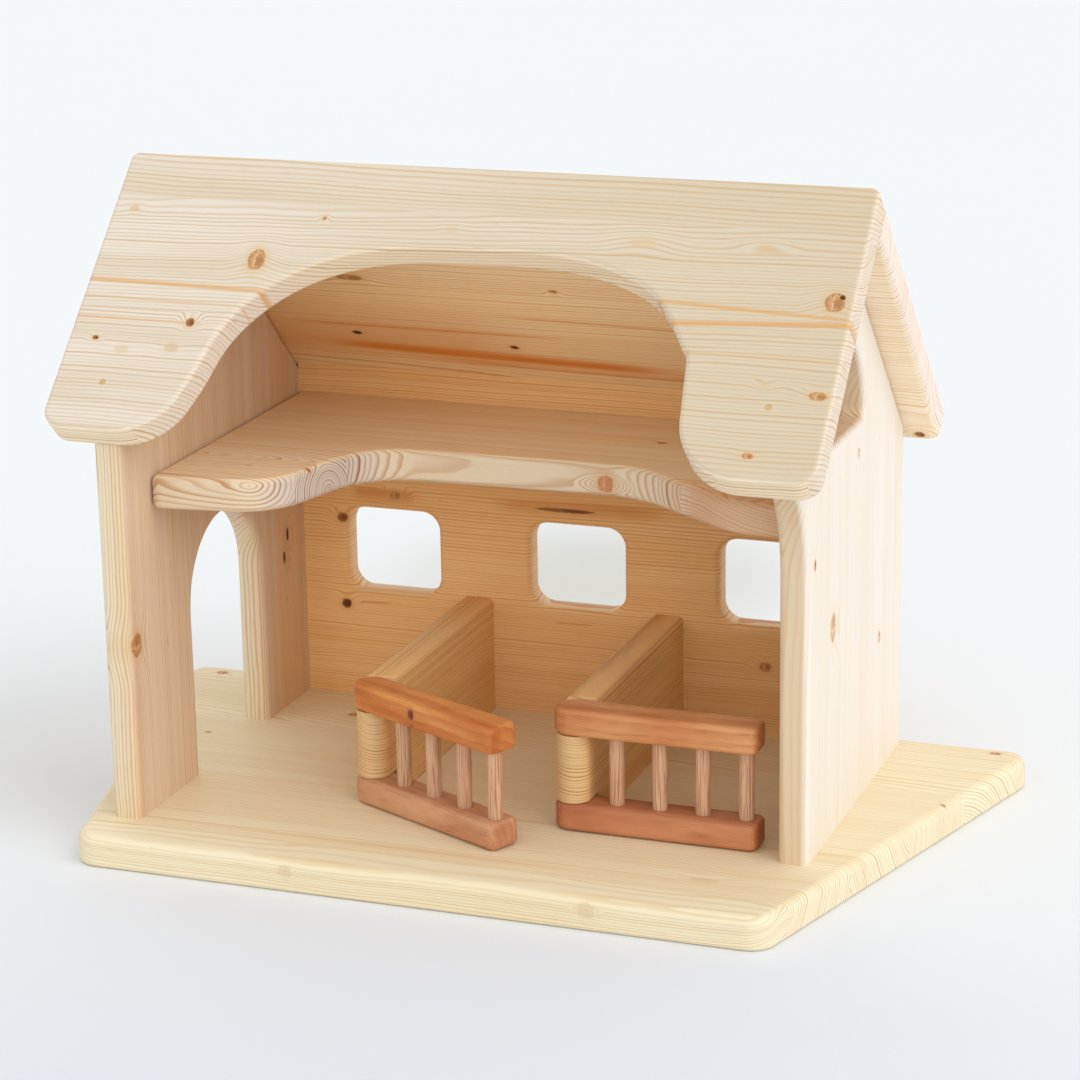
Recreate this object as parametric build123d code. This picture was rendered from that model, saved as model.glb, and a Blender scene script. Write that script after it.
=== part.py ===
"""Toy barn with two swinging stall gates, in glued solid spruce with alder gates and beech dowels.

Working frame: X runs along the front from the left wall's outer face, Y runs back from the left
wall's front edge, Z is up from the base board's underside. At the end every piece moves to the
part's own frame, whose origin is the middle of the footprint on the floor.
"""

from build123d import *
import math
import os

# ---------------------------------------------------------------- driving dimensions (millimetres)
BOARD = 18.0                # thickness of base, loft, roof and stall dividers
WALL = 16.0                 # thickness of gable walls and back wall
EDGE = 4.0                  # hand-rounded edge of walls and back roof

HOUSE_WIDTH = 375.0         # over the outer faces of both gable walls
HOUSE_DEPTH = 242.0         # front edge of the left wall to the back of the house
RIGHT_SETBACK = 45.0        # the right wall starts this much further back
WALL_BACK_CORNER = 14.0     # gable walls' rounded corner under the back eave

BASE_FRONT_Y = -29.0        # base board: a trapezoid, wider behind than in front
BASE_BACK_Y = 248.0
BASE_FRONT_X = (-9.0, 373.5)
BASE_BACK_X = (-72.5, 452.0)
BASE_FRONT_CORNER = 14.0
BASE_BACK_CORNER = 12.0
BASE_TOP_EDGE = 5.5
BASE_BOTTOM_EDGE = 2.5

RIDGE_Y = 109.3             # outer ridge line of the roof; both slopes are at 45 degrees
RIDGE_Z = 361.3
ROOF_X = (-24.0, 393.0)
FRONT_SLOPE = 173.4         # ridge to front eave, measured on the outer face
BACK_SLOPE = 221.0          # ridge to back eave
FRONT_EAVE_CORNER = 11.5
BACK_EAVE_CORNER = 8.0
RIDGE_CORNER = 5.0
FRONT_ROOF_EDGE = 2.6       # crisper than the other boards' edges

ARCH_LEFT_FOOT = 41.5       # where the roof arch's legs would meet the eave if left sharp
ARCH_RIGHT_FOOT = 322.0
ARCH_FOOT_CORNER = 35.0
ARCH_CURVE = ((53, 138), (58.5, 115), (74.5, 86.5), (101.5, 65), (140, 53), (187.5, 50.4),
              (240, 52.2), (270, 60.5), (296.5, 79.5), (311, 102), (317.7, 138))   # x, down the slope

LOFT_TOP = 202.0
LOFT_WAVE = ((16, 29, 6), (84.5, 38, 36), (106, 119, 36), (258, 122.5, 60),
             (326, 71.5, 50))                                    # x, y, rounding of each corner
LOFT_EDGE = 3.5

DOOR_MID_Y = 120.0          # round-headed doorway in the left wall
DOOR_RADIUS = 45.0
DOOR_SPRING_Z = 112.5

HATCH_RADIUS = 45.0         # half-round hay window in the right wall, above the loft
HATCH_MID = (110.0, 233.0)
HATCH_SILL_Z = 229.5
HATCH_CORNER = 6.0
FLARE_START_Z = 171.0       # the right wall's front edge sweeps forward above this height
FLARE_RADIUS = 76.0

WINDOW_WIDTH = 57.5         # three windows in the back wall
WINDOW_HEIGHT = 50.0
WINDOW_CORNER = 11.0
WINDOW_MID = (187.0, 108.7)
WINDOW_PITCH = 114.2
WINDOW_EDGE = 3.5

GATE_PIVOTS = ((126.0, 66.0), (242.0, 63.4))    # x, y; x is also a stall divider's middle
DIVIDER_FRONT_Y = 76.5
DIVIDER_TOP = 85.6
DIVIDER_EDGE = 3.0
NOSE_GAP = 0.35             # running clearance between a nose and the rails above and below it

GATE_FLOOR_GAP = 0.4        # under the bottom rail
RAIL_DEPTH = 20.0           # along Y when the gate is closed
RAIL_HEIGHT = 15.0
RAIL_SPACING = 38.2         # between the two rails
RAIL_REACH = 103.3          # pivot to free end
RAIL_CORNER = 5.0
RAIL_EDGE = 3.0
SPINDLE_DIAMETER = 8.4
SPINDLE_COUNT = 4
SPINDLE_FIRST = 24.0        # from the pivot
SPINDLE_PITCH = 23.7
SPINDLE_TENON = 9.0
PIVOT_DIAMETER = 8.0
PIVOT_CLEARANCE = 0.08      # radial, between the pivot pin and the nose
PIVOT_COVER = 4.0           # wood left above the pivot pin in the top rail
GATE_OPENING = (25.7, 0.0)  # left and right gate at rest, degrees from closed

DOWEL_DIAMETER = 8.0
DOWEL_LENGTH = 26.0
DOWEL_CHAMFER = 0.8
DOWEL_COVER = 5.0           # wood left over a dowel's blind end
ROOF_PIN_DIAMETER = 3.6
ROOF_PIN_LENGTH = 38.0
ROOF_PIN_CHAMFER = 0.3
LEFT_FOOT_DOWEL_Y = (38, 200)
RIGHT_FOOT_DOWEL_Y = (80, 200)
BACK_WALL_DOWEL_Z = (60, 160)
LEFT_LOFT_DOWEL_Y = (60, 190)
RIGHT_LOFT_DOWEL_Y = (100, 190)
DIVIDER_DOWEL_Y = (105, 180)
DIVIDER_BACK_DOWEL_Z = 56
RIDGE_DOWEL_X = (20, 184.5, 349)
FRONT_PIN_PLACES = ((4.6, 145.5), (361.8, 132.0))                # x, down the slope
BACK_PIN_PLACES = ((8, 60), (8, 150), (367, 60), (367, 150))

# ------------------------------------------------------------------------------- worked-out places
COS_PITCH = math.sqrt(0.5)
INNER_LEFT = WALL
INNER_RIGHT = HOUSE_WIDTH - WALL
INNER_BACK = HOUSE_DEPTH - WALL
RIDGE_UNDER_Z = RIDGE_Z - BOARD / COS_PITCH
LOWER_RAIL_Z = BOARD + GATE_FLOOR_GAP
UPPER_RAIL_Z = LOWER_RAIL_Z + RAIL_HEIGHT + RAIL_SPACING
NEAR = 0.01                 # tolerance when edges are picked by place
BASE_OF = (Align.CENTER, Align.CENTER, Align.MIN)


def under_roof(y):
    """Height of the roof's underside at this distance back."""
    return RIDGE_UNDER_Z - abs(y - RIDGE_Y)


def on_front_slope(x, slope):
    """Point on the front slope's outer face, a distance down from the ridge."""
    return x, RIDGE_Y - slope * COS_PITCH, RIDGE_Z - slope * COS_PITCH


def on_back_slope(x, slope):
    """Point on the back slope's outer face, a distance down from the ridge."""
    return x, RIDGE_Y + slope * COS_PITCH, RIDGE_Z - slope * COS_PITCH


# ------------------------------------------------------------------------------------ small helpers
def rounded_face(edges, corners):
    """Flat face inside a loop of edges; corners maps points of its outline to rounding radii."""
    face = make_face(Wire(edges))
    for point, radius in corners.items():
        face = fillet(face.vertices().sort_by_distance(point)[0], radius)
    return face


def sides(points):
    """Straight edges through the points, back to the first one."""
    return [Line(a, b) for a, b in zip(points, points[1:] + points[:1])]


def board(face, thickness, radius=0.0, rounded=None):
    """Board on a flat face, with its rims rounded; rounded says which by the edge's middle."""
    solid = extrude(face, thickness)
    rims = [e for e in solid.edges() if e.center().Z < NEAR or e.center().Z > thickness - NEAR]
    if rounded:
        rims = [e for e in rims if rounded(e.center())]
    return fillet(rims, radius) if radius else solid


def rod(diameter, length, bevel=0.0):
    """Round rod standing on the XY plane, with bevelled ends."""
    solid = Cylinder(diameter / 2, length, align=BASE_OF)
    return chamfer(solid.edges().filter_by(GeomType.CIRCLE), bevel) if bevel else solid


def pins(places, diameter=DOWEL_DIAMETER, length=DOWEL_LENGTH, bevel=DOWEL_CHAMFER):
    """Identical pins, each a separate solid, from (start, direction) places."""
    return Compound(children=[Plane(origin=start, z_dir=way) * rod(diameter, length, bevel)
                              for start, way in places])


def drilled(solid, places, diameter=DOWEL_DIAMETER, length=DOWEL_LENGTH):
    """The solid with a hole for each pin."""
    return solid - [Plane(origin=start, z_dir=way) * rod(diameter, length) for start, way in places]


# -------------------------------------------------------------------------- where dowels and pins go
UP = (0, 0, 1)
ACROSS = (1, 0, 0)
BACKWARD = (0, 1, 0)
DOWN_BACK_SLOPE = (0, 1, -1)
DOWN_FRONT_SLOPE = (0, -1, -1)
FLOOR_DOWEL_Z = DOWEL_COVER
LEFT_DOWEL_X = DOWEL_COVER
RIGHT_DOWEL_X = HOUSE_WIDTH - DOWEL_COVER - DOWEL_LENGTH
BACK_MID_Y = HOUSE_DEPTH - WALL / 2
LOFT_MID_Z = LOFT_TOP - BOARD / 2

LEFT_WALL_DOWELS = [((WALL / 2, y, FLOOR_DOWEL_Z), UP) for y in LEFT_FOOT_DOWEL_Y]
RIGHT_WALL_DOWELS = [((HOUSE_WIDTH - WALL / 2, y, FLOOR_DOWEL_Z), UP) for y in RIGHT_FOOT_DOWEL_Y]
LEFT_BACK_DOWELS = [((LEFT_DOWEL_X, BACK_MID_Y, z), ACROSS) for z in BACK_WALL_DOWEL_Z]
RIGHT_BACK_DOWELS = [((RIGHT_DOWEL_X, BACK_MID_Y, z), ACROSS) for z in BACK_WALL_DOWEL_Z]
LEFT_LOFT_DOWELS = [((LEFT_DOWEL_X, y, LOFT_MID_Z), ACROSS) for y in LEFT_LOFT_DOWEL_Y]
RIGHT_LOFT_DOWELS = [((RIGHT_DOWEL_X, y, LOFT_MID_Z), ACROSS) for y in RIGHT_LOFT_DOWEL_Y]
DIVIDER_FLOOR_DOWELS = [((x, y, FLOOR_DOWEL_Z), UP) for x, _ in GATE_PIVOTS for y in DIVIDER_DOWEL_Y]
DIVIDER_BACK_DOWELS = [((x, HOUSE_DEPTH - DOWEL_COVER - DOWEL_LENGTH, DIVIDER_BACK_DOWEL_Z), BACKWARD)
                       for x, _ in GATE_PIVOTS]
RIDGE_DOWELS = [((x, RIDGE_Y + (DOWEL_COVER - BOARD / 2) * COS_PITCH,
                  RIDGE_Z - (DOWEL_COVER + BOARD / 2) * COS_PITCH), DOWN_BACK_SLOPE)
                for x in RIDGE_DOWEL_X]
FRONT_ROOF_PINS = [(on_front_slope(x, slope), DOWN_BACK_SLOPE) for x, slope in FRONT_PIN_PLACES]
BACK_ROOF_PINS = [(on_back_slope(x, slope), DOWN_FRONT_SLOPE) for x, slope in BACK_PIN_PLACES]
ROOF_PIN = {"diameter": ROOF_PIN_DIAMETER, "length": ROOF_PIN_LENGTH}


# ------------------------------------------------------------------------------ base, walls and loft
def base_board():
    """Trapezoid board that everything stands on, with a soft rim."""
    front_left = (BASE_FRONT_X[0], BASE_FRONT_Y)
    front_right = (BASE_FRONT_X[1], BASE_FRONT_Y)
    back_right = (BASE_BACK_X[1], BASE_BACK_Y)
    back_left = (BASE_BACK_X[0], BASE_BACK_Y)
    face = rounded_face(sides([front_left, front_right, back_right, back_left]),
                        {front_left: BASE_FRONT_CORNER, front_right: BASE_FRONT_CORNER,
                         back_right: BASE_BACK_CORNER, back_left: BASE_BACK_CORNER})
    solid = extrude(face, BOARD)
    solid = fillet(solid.faces().sort_by(Axis.Z)[-1].edges(), BASE_TOP_EDGE)
    solid = fillet(solid.faces().sort_by(Axis.Z)[0].edges(), BASE_BOTTOM_EDGE)
    return drilled(solid, LEFT_WALL_DOWELS + RIGHT_WALL_DOWELS + DIVIDER_FLOOR_DOWELS)


def across_house(x):
    """Plane across the house at x: its own X runs back and its own Y runs up."""
    return Plane(origin=(x, 0, 0), x_dir=(0, 1, 0), z_dir=(1, 0, 0))


def left_wall():
    """Gable wall with the round-headed doorway."""
    back_top = (HOUSE_DEPTH, under_roof(HOUSE_DEPTH))
    face = rounded_face(sides([(0, BOARD), (HOUSE_DEPTH, BOARD), back_top,
                               (RIDGE_Y, RIDGE_UNDER_Z), (0, under_roof(0))]),
                        {back_top: WALL_BACK_CORNER})
    door_height = DOOR_SPRING_Z - BOARD
    face -= Pos(DOOR_MID_Y, BOARD + door_height / 2) * Rectangle(2 * DOOR_RADIUS, door_height)
    face -= Pos(DOOR_MID_Y, DOOR_SPRING_Z) * Circle(DOOR_RADIUS)

    def rounded(middle):
        doorway = (abs(middle.X - DOOR_MID_Y) < DOOR_RADIUS + NEAR
                   and BOARD + NEAR < middle.Y < DOOR_SPRING_Z + DOOR_RADIUS + NEAR)
        ends = middle.X < NEAR or middle.X > HOUSE_DEPTH - WALL_BACK_CORNER / 2
        return doorway or ends

    solid = across_house(0) * board(face, WALL, EDGE, rounded)
    return drilled(drilled(solid, LEFT_WALL_DOWELS + LEFT_BACK_DOWELS + LEFT_LOFT_DOWELS),
                   FRONT_ROOF_PINS + BACK_ROOF_PINS, **ROOF_PIN)


def right_wall():
    """Narrower gable wall: its front edge sweeps forward under the eave, and it has the hatch."""
    back_top = (HOUSE_DEPTH, under_roof(HOUSE_DEPTH))
    flare_mid_y = RIGHT_SETBACK - FLARE_RADIUS
    rise = under_roof(flare_mid_y) - FLARE_START_Z
    lean = math.radians(45) + math.asin(rise / FLARE_RADIUS * COS_PITCH)
    tip = (flare_mid_y + FLARE_RADIUS * math.cos(lean), FLARE_START_Z + FLARE_RADIUS * math.sin(lean))
    sweep_start = (RIGHT_SETBACK, FLARE_START_Z)
    sweep = RadiusArc(sweep_start, tip, -FLARE_RADIUS)
    foot = (RIGHT_SETBACK, BOARD)
    face = rounded_face([Line(foot, (HOUSE_DEPTH, BOARD)), Line((HOUSE_DEPTH, BOARD), back_top),
                         Line(back_top, (RIDGE_Y, RIDGE_UNDER_Z)),
                         Line((RIDGE_Y, RIDGE_UNDER_Z), tip), sweep, Line(sweep_start, foot)],
                        {back_top: WALL_BACK_CORNER})
    hatch = Pos(*HATCH_MID) * Circle(HATCH_RADIUS)
    hatch -= Pos(HATCH_MID[0], HATCH_SILL_Z) * Rectangle(
        3 * HATCH_RADIUS, 2 * HATCH_RADIUS, align=(Align.CENTER, Align.MAX))
    face -= fillet(hatch.vertices(), HATCH_CORNER)

    def rounded(middle):
        round_hatch = (abs(middle.X - HATCH_MID[0]) < HATCH_RADIUS + NEAR
                       and HATCH_SILL_Z - NEAR < middle.Y < HATCH_MID[1] + HATCH_RADIUS + NEAR)
        front = middle.X < RIGHT_SETBACK + NEAR and middle.Y < tip[1]
        back = middle.X > HOUSE_DEPTH - WALL_BACK_CORNER / 2
        return round_hatch or front or back

    solid = across_house(INNER_RIGHT) * board(face, WALL, EDGE, rounded)
    return drilled(drilled(solid, RIGHT_WALL_DOWELS + RIGHT_BACK_DOWELS + RIGHT_LOFT_DOWELS),
                   FRONT_ROOF_PINS + BACK_ROOF_PINS, **ROOF_PIN)


def back_wall():
    """Wall between the gables, bevelled under the roof, with three rounded windows."""
    profile = make_face(Wire(sides([(INNER_BACK, BOARD), (HOUSE_DEPTH, BOARD),
                                    (HOUSE_DEPTH, under_roof(HOUSE_DEPTH)),
                                    (INNER_BACK, under_roof(INNER_BACK))])))
    solid = across_house(INNER_LEFT) * extrude(profile, INNER_RIGHT - INNER_LEFT)
    centres = [WINDOW_MID[0] + step * WINDOW_PITCH for step in (-1, 0, 1)]
    for x in centres:
        pane = RectangleRounded(WINDOW_WIDTH, WINDOW_HEIGHT, WINDOW_CORNER)
        upright = Plane(origin=(x, HOUSE_DEPTH, WINDOW_MID[1]), x_dir=(1, 0, 0), z_dir=(0, -1, 0))
        solid -= upright * extrude(pane, WALL)

    def around_window(edge):
        middle = edge.center()
        on_face = min(abs(middle.Y - INNER_BACK), abs(middle.Y - HOUSE_DEPTH)) < NEAR
        return on_face and any(abs(middle.X - x) < WINDOW_WIDTH / 2 + NEAR
                               and abs(middle.Z - WINDOW_MID[1]) < WINDOW_HEIGHT / 2 + NEAR
                               for x in centres)

    solid = fillet([e for e in solid.edges() if around_window(e)], WINDOW_EDGE)
    return drilled(solid, LEFT_BACK_DOWELS + RIGHT_BACK_DOWELS + DIVIDER_BACK_DOWELS)


def loft_floor():
    """Hay loft with a wavy front edge, deep on the left and drawn back over the stalls."""
    wave = [(x, y) for x, y, _ in LOFT_WAVE]
    radii = {(x, y): radius for x, y, radius in LOFT_WAVE}
    right_front = (INNER_RIGHT, wave[-1][1])
    face = rounded_face(sides(wave + [right_front, (INNER_RIGHT, INNER_BACK),
                                      (INNER_LEFT, INNER_BACK)]), radii)

    def rounded(middle):
        return middle.Y < HOUSE_DEPTH / 2 and INNER_LEFT + NEAR < middle.X < INNER_RIGHT - NEAR

    solid = Pos(0, 0, LOFT_TOP - BOARD) * board(face, BOARD, LOFT_EDGE, rounded)
    return drilled(solid, LEFT_LOFT_DOWELS + RIGHT_LOFT_DOWELS)


# -------------------------------------------------------------------------------------------- roof
# Roof boards are drawn flat, X along the ridge and Y down the slope from the ridge line.
FRONT_FRAME = Plane(origin=(0, RIDGE_Y, RIDGE_Z), x_dir=(1, 0, 0), z_dir=(0, 1, -1))
BACK_FRAME = Plane(origin=(0, RIDGE_Y - BOARD * COS_PITCH, RIDGE_Z - BOARD * COS_PITCH),
                   x_dir=(1, 0, 0), z_dir=(0, 1, 1))


def front_roof_panel():
    """Front slope with the wide arch that shows the loft, leaving a leg at each end."""
    left, right = ROOF_X
    ridge_left, ridge_right = (left, 0), (right, 0)
    eave_left, eave_right = (left, FRONT_SLOPE), (right, FRONT_SLOPE)
    foot_left, foot_right = (ARCH_LEFT_FOOT, FRONT_SLOPE), (ARCH_RIGHT_FOOT, FRONT_SLOPE)
    start, end = ARCH_CURVE[0], ARCH_CURVE[-1]
    arch = Spline(*ARCH_CURVE, tangents=(Vector(*start) - Vector(*foot_left),
                                         Vector(*foot_right) - Vector(*end)))
    face = rounded_face([Line(ridge_left, eave_left), Line(eave_left, foot_left),
                         Line(foot_left, start), arch, Line(end, foot_right),
                         Line(foot_right, eave_right), Line(eave_right, ridge_right),
                         Line(ridge_right, ridge_left)],
                        {eave_left: FRONT_EAVE_CORNER, eave_right: FRONT_EAVE_CORNER,
                         foot_left: ARCH_FOOT_CORNER, foot_right: ARCH_FOOT_CORNER,
                         ridge_left: RIDGE_CORNER, ridge_right: RIDGE_CORNER})
    solid = FRONT_FRAME * board(face, BOARD, FRONT_ROOF_EDGE)
    return drilled(drilled(solid, RIDGE_DOWELS), FRONT_ROOF_PINS, **ROOF_PIN)


def back_roof_panel():
    """Plain back slope; its upper edge butts against the underside of the front panel."""
    left, right = ROOF_X
    eave_left, eave_right = (left, BACK_SLOPE), (right, BACK_SLOPE)
    face = rounded_face(sides([(left, BOARD), eave_left, eave_right, (right, BOARD)]),
                        {eave_right: BACK_EAVE_CORNER, eave_left: BACK_EAVE_CORNER})
    solid = BACK_FRAME * board(face, BOARD, EDGE, lambda middle: middle.Y > BOARD + NEAR)
    return drilled(drilled(solid, RIDGE_DOWELS), BACK_ROOF_PINS, **ROOF_PIN)


# ------------------------------------------------------------------------------ dividers and gates
def divider(x, pivot_y):
    """Stall divider: a low board with a half-round nose that fits between a gate's rails."""
    nose_low = LOWER_RAIL_Z + RAIL_HEIGHT + NOSE_GAP
    nose_height = RAIL_SPACING - 2 * NOSE_GAP
    length = INNER_BACK - DIVIDER_FRONT_Y
    body = Pos(x, DIVIDER_FRONT_Y + length / 2, BOARD) * Box(
        BOARD, length, DIVIDER_TOP - BOARD, align=BASE_OF)
    top = [e for e in body.edges() if e.center().Z > DIVIDER_TOP - NEAR
           and e.center().Y < INNER_BACK - NEAR]
    body = fillet(top, DIVIDER_EDGE)
    nose = Pos(x, pivot_y, nose_low) * Cylinder(BOARD / 2, nose_height, align=BASE_OF)
    neck_length = DIVIDER_FRONT_Y + BOARD - pivot_y
    neck = Pos(x, pivot_y + neck_length / 2, nose_low) * Box(
        BOARD, neck_length, nose_height, align=BASE_OF)
    places = [p for p in DIVIDER_FLOOR_DOWELS + DIVIDER_BACK_DOWELS if p[0][0] == x]
    bore = Pos(x, pivot_y, nose_low) * rod(PIVOT_DIAMETER + 2 * PIVOT_CLEARANCE, nose_height)
    return drilled(body + neck + nose, places) - bore


def gate_rail(z, spindles_enter_above):
    """Rail in the gate's own frame: pivot axis at the origin, free end along +X."""
    half = RAIL_DEPTH / 2
    near, far = (RAIL_REACH, -half), (RAIL_REACH, half)
    face = rounded_face([Line((0, -half), near), Line(near, far), Line(far, (0, half)),
                         ThreePointArc((0, half), (-half, 0), (0, -half))],
                        {near: RAIL_CORNER, far: RAIL_CORNER})
    rail = Pos(0, 0, z) * board(face, RAIL_HEIGHT, RAIL_EDGE)
    mouth = z + RAIL_HEIGHT - SPINDLE_TENON if spindles_enter_above else z
    for index in range(SPINDLE_COUNT):
        rail -= Pos(SPINDLE_FIRST + index * SPINDLE_PITCH, 0, mouth) * rod(
            SPINDLE_DIAMETER, SPINDLE_TENON)
    bore_depth = RAIL_HEIGHT if spindles_enter_above else RAIL_HEIGHT - PIVOT_COVER
    return rail - Pos(0, 0, z) * rod(PIVOT_DIAMETER, bore_depth)


def gate(side, pivot, opening):
    """Pieces of one gate by node name, turned to where it stands at rest."""
    place = Pos(*pivot, 0) * Rot(0, 0, -opening)
    spindle_z = LOWER_RAIL_Z + RAIL_HEIGHT - SPINDLE_TENON
    spindle_length = RAIL_SPACING + 2 * SPINDLE_TENON
    pin_length = UPPER_RAIL_Z + RAIL_HEIGHT - PIVOT_COVER - LOWER_RAIL_Z
    pieces = {"bottom_rail": gate_rail(LOWER_RAIL_Z, True),
              "top_rail": gate_rail(UPPER_RAIL_Z, False),
              "pivot_pin": Pos(0, 0, LOWER_RAIL_Z) * rod(PIVOT_DIAMETER, pin_length, DOWEL_CHAMFER)}
    for index in range(SPINDLE_COUNT):
        pieces[f"spindle_{index + 1}"] = Pos(SPINDLE_FIRST + index * SPINDLE_PITCH, 0, spindle_z) * rod(
            SPINDLE_DIAMETER, spindle_length, DOWEL_CHAMFER)
    return {f"{side}_gate_{name}": place * piece for name, piece in pieces.items()}


# ---------------------------------------------------------------------------------------- assembly
def assemble():
    """Every node of the barn, still in the working frame."""
    nodes = {"base_board": base_board(), "left_wall": left_wall(), "right_wall": right_wall(),
             "back_wall": back_wall(), "loft_floor": loft_floor(),
             "front_roof_panel": front_roof_panel(), "back_roof_panel": back_roof_panel(),
             "left_divider": divider(*GATE_PIVOTS[0]), "right_divider": divider(*GATE_PIVOTS[1]),
             "wall_foot_dowels": pins(LEFT_WALL_DOWELS + RIGHT_WALL_DOWELS),
             "back_wall_dowels": pins(LEFT_BACK_DOWELS + RIGHT_BACK_DOWELS),
             "loft_dowels": pins(LEFT_LOFT_DOWELS + RIGHT_LOFT_DOWELS),
             "divider_dowels": pins(DIVIDER_FLOOR_DOWELS + DIVIDER_BACK_DOWELS),
             "ridge_dowels": pins(RIDGE_DOWELS),
             "roof_pins": pins(FRONT_ROOF_PINS + BACK_ROOF_PINS, bevel=ROOF_PIN_CHAMFER, **ROOF_PIN)}
    for side, pivot, opening in zip(("left", "right"), GATE_PIVOTS, GATE_OPENING):
        nodes.update(gate(side, pivot, opening))
    return nodes


def main():
    """Builds the barn and writes one STEP file per node."""
    os.makedirs("parts", exist_ok=True)
    nodes = assemble()
    boxes = [shape.bounding_box() for shape in nodes.values()]
    middle_x = (min(b.min.X for b in boxes) + max(b.max.X for b in boxes)) / 2
    middle_y = (min(b.min.Y for b in boxes) + max(b.max.Y for b in boxes)) / 2
    for name, shape in nodes.items():
        export_step(Pos(-middle_x, -middle_y, 0) * shape, f"parts/{name}.step")
    print(f"origin in the working frame: {middle_x:.3f} {middle_y:.3f}")


if __name__ == "__main__":
    main()
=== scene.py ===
"""Toy barn: glued spruce boards, alder gate rails, oak spindles, beech pins, studio and camera."""

import logging
import math
from dataclasses import dataclass, field
from enum import Enum

import bpy
from mathutils import Matrix, Vector


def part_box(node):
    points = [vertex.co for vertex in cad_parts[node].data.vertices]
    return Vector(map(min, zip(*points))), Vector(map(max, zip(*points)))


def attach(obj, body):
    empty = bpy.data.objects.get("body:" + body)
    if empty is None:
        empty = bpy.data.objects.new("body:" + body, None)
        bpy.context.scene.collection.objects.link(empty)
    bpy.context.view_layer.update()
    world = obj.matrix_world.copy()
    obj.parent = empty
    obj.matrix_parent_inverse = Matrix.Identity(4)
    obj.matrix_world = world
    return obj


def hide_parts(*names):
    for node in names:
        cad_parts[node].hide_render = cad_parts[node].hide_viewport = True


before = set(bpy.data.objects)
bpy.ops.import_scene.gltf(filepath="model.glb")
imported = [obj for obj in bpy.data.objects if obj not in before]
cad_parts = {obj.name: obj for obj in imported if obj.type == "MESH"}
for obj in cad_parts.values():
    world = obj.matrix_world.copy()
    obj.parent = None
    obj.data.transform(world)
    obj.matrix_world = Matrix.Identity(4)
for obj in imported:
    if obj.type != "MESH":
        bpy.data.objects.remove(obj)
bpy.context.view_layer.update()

MILLIMETRE = 0.001
BUMP_STRENGTH = 0.55
OILED_SHEEN = 0.32              # specular level of oiled wood
NO_KNOT = 9.0                   # distance that counts as far from every knot, in knot radii
SWIRL_REACH = 0.36              # the rings bulge out to 1.3 over this many knot radii
SWIRL_HEIGHT = 1.7              # bulge for each millimetre of knot radius
STREAK_WAVER = 2.5              # millimetres by which a resinous band wanders
LOG = logging.getLogger("toy_barn")

Colour = tuple[float, float, float]


def seen(red: int, green: int, blue: int) -> Colour:
    """Turns a colour as a screen shows it, 0 to 255, into the linear values that shaders take."""
    def linear(level: int) -> float:
        """Undoes the screen's transfer curve for one channel."""
        part = level / 255
        return part / 12.92 if part <= 0.04045 else ((part + 0.055) / 1.055) ** 2.4
    return linear(red), linear(green), linear(blue)


# --------------------------------------------------------------------------------- shader building
class Wire:
    """A shader socket that adds Math nodes to its material when it is used in an expression."""

    def __init__(self, shader: "Shader", socket: bpy.types.NodeSocket) -> None:
        """Keeps the material's builder and the socket."""
        self.shader = shader
        self.socket = socket

    def __add__(self, other: "Wire | float") -> "Wire":
        """Sum."""
        return self.shader.maths("ADD", self, other)

    __radd__ = __add__

    def __sub__(self, other: "Wire | float") -> "Wire":
        """Difference."""
        return self.shader.maths("SUBTRACT", self, other)

    def __rsub__(self, other: "Wire | float") -> "Wire":
        """Difference, with this socket taken away."""
        return self.shader.maths("SUBTRACT", other, self)

    def __mul__(self, other: "Wire | float") -> "Wire":
        """Product."""
        return self.shader.maths("MULTIPLY", self, other)

    __rmul__ = __mul__

    def __truediv__(self, other: "Wire | float") -> "Wire":
        """Quotient."""
        return self.shader.maths("DIVIDE", self, other)

    def __rtruediv__(self, other: "Wire | float") -> "Wire":
        """Quotient, with this socket as the divisor."""
        return self.shader.maths("DIVIDE", other, self)

    def floor(self) -> "Wire":
        """Whole part."""
        return self.shader.maths("FLOOR", self)

    def fraction(self) -> "Wire":
        """Part after the point."""
        return self.shader.maths("FRACT", self)

    def size(self) -> "Wire":
        """Value without its sign."""
        return self.shader.maths("ABSOLUTE", self)

    def rises(self, low: float, high: float) -> "Wire":
        """Soft step from 0 below low to 1 above high."""
        node = self.shader.node("ShaderNodeMapRange", {"interpolation_type": "SMOOTHSTEP"},
                                {"Value": self, "From Min": low, "From Max": high})
        return Wire(self.shader, node.outputs["Result"])


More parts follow.
